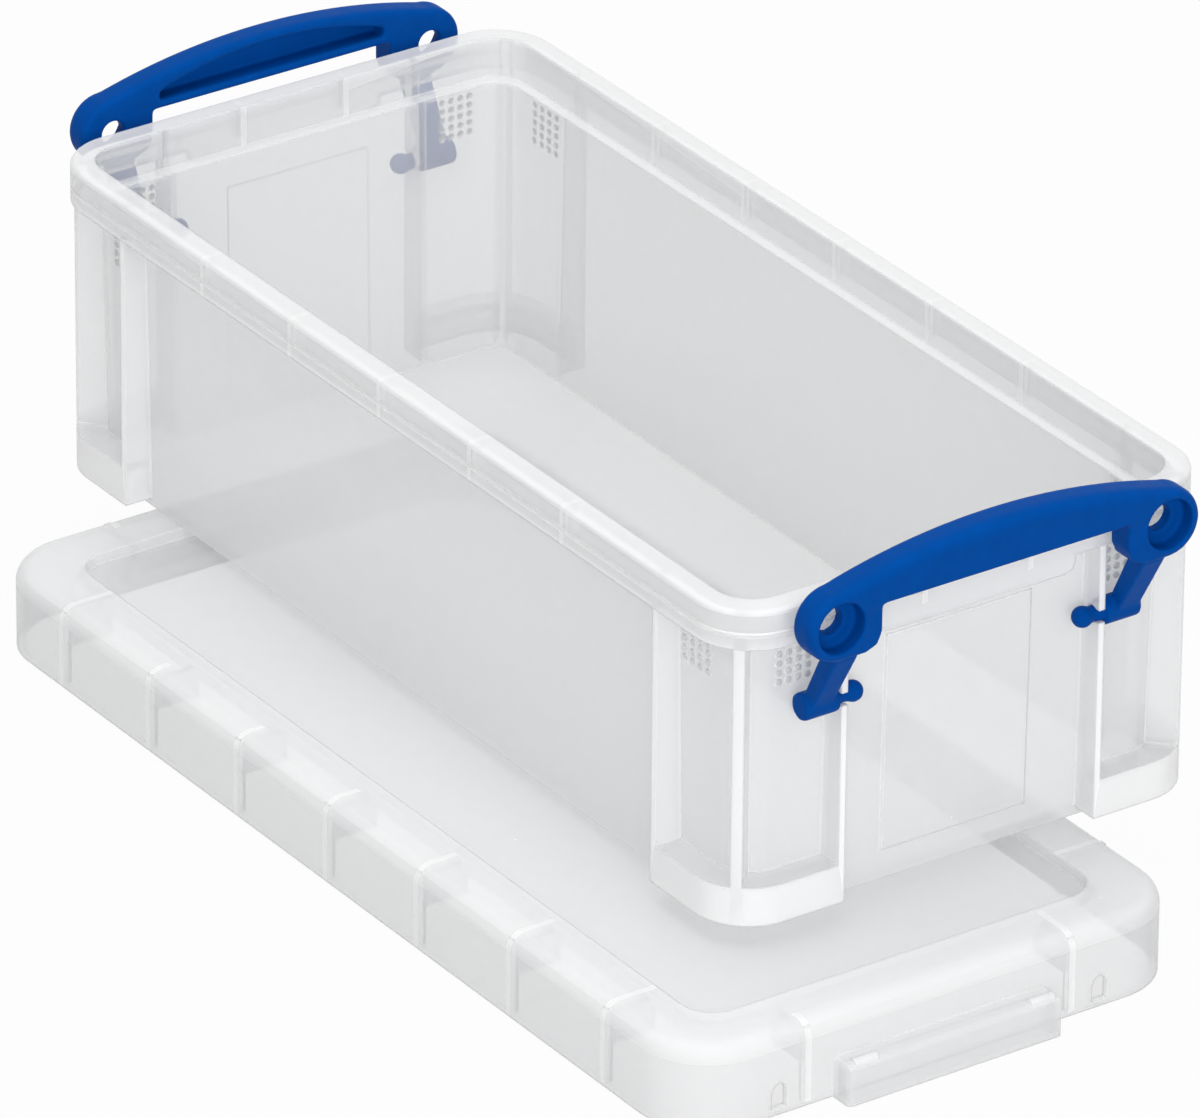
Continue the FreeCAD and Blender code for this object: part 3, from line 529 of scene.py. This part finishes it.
def wallSpots(piece, middle):
    # where a line from outside meets the wall, with the wall's normal there
    far = pips["castFrom"]
    spots = []
    for height in pips["rows"]:
        for sideX in (-1, 1):
            for sideY in (-1, 1):
                for along in pips["onLongWalls"]:
                    start = Vector((middle[0] + sideX * along, middle[1] + sideY * far, height))
                    spots.append(piece.ray_cast(start, Vector((0, -sideY, 0)))[1:3])
                for across in pips["onEndWalls"]:
                    start = Vector((middle[0] + sideX * far, middle[1] + sideY * across, height))
                    spots.append(piece.ray_cast(start, Vector((-sideX, 0, 0)))[1:3])
    return spots


def addPips(piece, moulding):
    pip = modelPip()
    copies = []
    for place, normal in wallSpots(piece, moulding["middle"]):
        twin = pip.copy()
        twin.data = pip.data.copy()
        turn = normal.to_track_quat("Z", "Y").to_matrix().to_4x4()
        twin.matrix_world = Matrix.Translation(place) @ turn
        bpy.context.scene.collection.objects.link(twin)
        copies.append(twin)
    bpy.data.objects.remove(pip)
    bpy.ops.object.select_all(action="DESELECT")
    for twin in copies:
        twin.select_set(True)
    piece.select_set(True)
    bpy.context.view_layer.objects.active = piece
    bpy.ops.object.join()
    print("pips on the wall:", len(copies))


def buildClearMoulding(nodeName, moulding):
    piece = copyNode(nodeName, moulding["name"])
    cutBesideRibs(moulding)
    # painted highlight: each face's share of white goes into this attribute
    glow = piece.data.attributes.new("stripGlow", "FLOAT", "FACE")
    thin = stripSettings["thin"]
    wide = stripSettings["wide"]
    for i, width in enumerate(stripWidths(piece.data)):
        share = min(1.0, max(0.0, (wide - width) / (wide - thin)))
        ownGlow = faceGlow(piece.data.polygons[i], moulding)
        glow.data[i].value = max(share * moulding["stripGlow"], ownGlow)
    bpy.ops.object.shade_smooth_by_angle(angle=math.radians(stripSettings["sharpAngle"]))
    if "fins" in moulding:
        addPips(piece, moulding)
    finishPiece(piece, nodeName, clearPlastic)


for nodeName, moulding in clearMouldings.items():
    buildClearMoulding(nodeName, moulding)


# blue handles, with every edge rounded as the mould leaves it

handles = {"handle_near": "nearHandleMoulding", "handle_far": "farHandleMoulding"}

handleSettings = {
    "voxel": 0.00028,
    "smoothFactor": 0.5,
    "smoothSteps": 7,
}


def buildHandle(nodeName, name):
    piece = copyNode(nodeName, name)
    remesh = piece.modifiers.new("evenMesh", "REMESH")
    remesh.mode = "VOXEL"
    remesh.voxel_size = handleSettings["voxel"]
    bpy.ops.object.modifier_apply(modifier="evenMesh")
    bpy.ops.object.mode_set(mode="EDIT")
    bpy.ops.mesh.select_all(action="SELECT")
    bpy.ops.mesh.vertices_smooth(factor=handleSettings["smoothFactor"],
                                 repeat=handleSettings["smoothSteps"])
    bpy.ops.object.mode_set(mode="OBJECT")
    bpy.ops.object.shade_smooth()
    finishPiece(piece, nodeName, bluePlastic)


for nodeName, name in handles.items():
    buildHandle(nodeName, name)


# studio: pale floor, soft lamps, white surround for the camera

studio = {
    "floorSize": 6.0,
    "floorDrop": 0.0002,
    "floorColor": (0.55, 0.55, 0.55, 1.0),
    "floorLift": 0.95,          # share of plain white that the camera sees on the bare floor
    "floorLiftThrough": 0.33,   # the same through the plastic
    # painted light and shade: inside the lid's outline the floor gets this share of white by
    # position, less than the bare floor and more than the floor through the plastic elsewhere
    "floorLiftUnder": 0.64,     # the same under the lid, where it lies close
    "lidMiddle": (0.01285, -0.01125, 0.0),
    "lidCorner": 0.0125,                  # radius of the outline under the lid
    "lidSquare": (0.0914, 0.0370, 0.0),   # half sizes between the middles of its corners
    "worldColor": (1.0, 1.0, 1.0, 1.0),
    "worldStrength": 0.52,      # as a light
    "worldSeen": 1.0,           # as the camera sees it
    "lamps": {
        # name: (azimuth, elevation, distance, size, power)
        "keyLamp": (30.0, 82.0, 1.6, 1.2, 15.0),
        "frontLamp": (66.0, 12.0, 1.8, 1.4, 26.0),
        "backLamp": (-130.0, 45.0, 1.8, 1.2, 4.0),
    },
}


def directionFrom(azimuth, elevation):
    a = math.radians(azimuth)
    e = math.radians(elevation)
    return Vector((math.sin(a) * math.cos(e), -math.cos(a) * math.cos(e), math.sin(e)))


def seenByEye(tree, place):
    # one for what is seen straight, in a reflection or through something; nothing for light
    x, y = place
    path = addNode(tree, "ShaderNodeLightPath", place).outputs
    seen = addMath(tree, (x + 200, y), "MAXIMUM", path["Is Camera Ray"], path["Is Glossy Ray"])
    return addMath(tree, (x + 400, y), "MAXIMUM", seen, path["Is Transmission Ray"])


def underLid(tree):
    # mask for the painted light and shade under the lid: one where the lid stands over the floor,
    # nothing elsewhere
    flow = addNode(tree, "ShaderNodeTexCoord", (-1700, -600)).outputs["Object"]
    steps = [
        ("SUBTRACT", studio["lidMiddle"]),
        ("ABSOLUTE", None),
        ("SUBTRACT", studio["lidSquare"]),
        ("MAXIMUM", (0.0, 0.0, 0.0)),
        ("LENGTH", None),
    ]
    for i, (operation, amount) in enumerate(steps):
        place = (-1500 + 180 * i, -600)
        step = addNode(tree, "ShaderNodeVectorMath", place, operation=operation)
        tree.links.new(flow, step.inputs[0])
        if amount:
            step.inputs[1].default_value = amount
        flow = step.outputs["Value" if operation == "LENGTH" else "Vector"]
    near = addNode(tree, "ShaderNodeMath", (-600, -600), operation="LESS_THAN")
    near.inputs[1].default_value = studio["lidCorner"]
    tree.links.new(flow, near.inputs[0])
    return near.outputs["Value"]


def buildFloor():
    bpy.ops.object.select_all(action="DESELECT")
    bpy.ops.mesh.primitive_plane_add(size=studio["floorSize"],
                                     location=(0, 0, -studio["floorDrop"]))
    floor = bpy.context.active_object
    floor.name = "studioFloor"
    material = newMaterial("studioFloor")
    tree = material.node_tree
    links = tree.links
    result = addNode(tree, "ShaderNodeOutputMaterial", (600, 0))
    paper = addNode(tree, "ShaderNodeBsdfDiffuse", (0, 100))
    setInputs(paper, Color=studio["floorColor"])
    glow = addNode(tree, "ShaderNodeEmission", (0, -100))
    # the bare floor shows white; through the plastic and under the lid more as the paper it is;
    # inside the lid's outline the share of white is set by position, a painted shade against the
    # bare floor and painted light against the floor through the plastic elsewhere
    path = addNode(tree, "ShaderNodeLightPath", (-600, -420))
    beneath = underLid(tree)
    covered = addMath(tree, (-450, -420), "ADD", path.outputs["Transparent Depth"], beneath)
    dimmed = addNode(tree, "ShaderNodeMapRange", (-450, -620))
    setInputs(dimmed, To_Min=studio["floorLiftThrough"], To_Max=studio["floorLiftUnder"])
    links.new(beneath, dimmed.inputs["Value"])
    share = addNode(tree, "ShaderNodeMapRange", (-300, -420))
    setInputs(share, To_Min=studio["floorLift"])
    links.new(covered, share.inputs["Value"])
    links.new(dimmed.outputs["Result"], share.inputs["To Max"])
    seen = seenByEye(tree, (-700, -260))
    lift = addMath(tree, (0, -260), "MULTIPLY", seen, share.outputs["Result"])
    mix = addShaderMix(tree, (300, 0), paper.outputs["BSDF"], glow.outputs["Emission"])
    links.new(lift, mix.inputs["Fac"])
    links.new(mix.outputs["Shader"], result.inputs["Surface"])
    floor.data.materials.append(material)


def buildSurround():
    world = bpy.data.worlds.new("studioSurround")
    bpy.context.scene.world = world
    world.use_nodes = True
    tree = world.node_tree
    tree.nodes.clear()
    result = addNode(tree, "ShaderNodeOutputWorld", (600, 0))
    dim = addNode(tree, "ShaderNodeBackground", (0, 100))
    setInputs(dim, Color=studio["worldColor"], Strength=studio["worldStrength"])
    plain = addNode(tree, "ShaderNodeBackground", (0, -100))
    setInputs(plain, Color=studio["worldColor"], Strength=studio["worldSeen"])
    mix = addShaderMix(tree, (300, 0), dim.outputs["Background"], plain.outputs["Background"])
    tree.links.new(seenByEye(tree, (-700, -200)), mix.inputs["Fac"])
    tree.links.new(mix.outputs["Shader"], result.inputs["Surface"])


def buildLamps():
    middle = (Vector(cadBox[0]) + Vector(cadBox[1])) / 2
    for name, (azimuth, elevation, distance, side, power) in studio["lamps"].items():
        light = bpy.data.lights.new(name, "AREA")
        light.shape = "SQUARE"
        light.size = side
        light.energy = power
        lamp = bpy.data.objects.new(name, light)
        lamp.visible_glossy = False
        bpy.context.scene.collection.objects.link(lamp)
        back = directionFrom(azimuth, elevation)
        lamp.location = middle + back * distance
        lamp.rotation_euler = back.to_track_quat("Z", "Y").to_euler()


# camera at the photograph's angle

shot = {
    "azimuth": 55.41,
    "elevation": 27.79,
    "roll": 0.51,
    "distance": 2.2957,
    "lens": 411.6,
    "sensor": 36.0,
    "clipStart": 0.05,
    "aim": (-0.00645, 0.00664, 0.03166),
}


def buildCamera():
    data = bpy.data.cameras.new("photoCamera")
    data.sensor_fit = "HORIZONTAL"
    data.sensor_width = shot["sensor"]
    data.lens = shot["lens"]
    data.clip_start = shot["clipStart"]
    camera = bpy.data.objects.new("photoCamera", data)
    bpy.context.scene.collection.objects.link(camera)
    back = directionFrom(shot["azimuth"], shot["elevation"])
    azimuth = math.radians(shot["azimuth"])
    side = Vector((math.cos(azimuth), math.sin(azimuth), 0.0))
    top = back.cross(side)
    turn = math.radians(shot["roll"])
    right = side * math.cos(turn) + top * math.sin(turn)
    up = top * math.cos(turn) - side * math.sin(turn)
    spot = Vector(shot["aim"]) + back * shot["distance"]
    camera.matrix_world = Matrix((
        (right.x, up.x, back.x, spot.x),
        (right.y, up.y, back.y, spot.y),
        (right.z, up.z, back.z, spot.z),
        (0.0, 0.0, 0.0, 1.0),
    ))
    bpy.context.scene.camera = camera


buildFloor()
buildSurround()
buildLamps()
buildCamera()
bpy.context.scene.view_settings.view_transform = "Standard"
print("studio set")
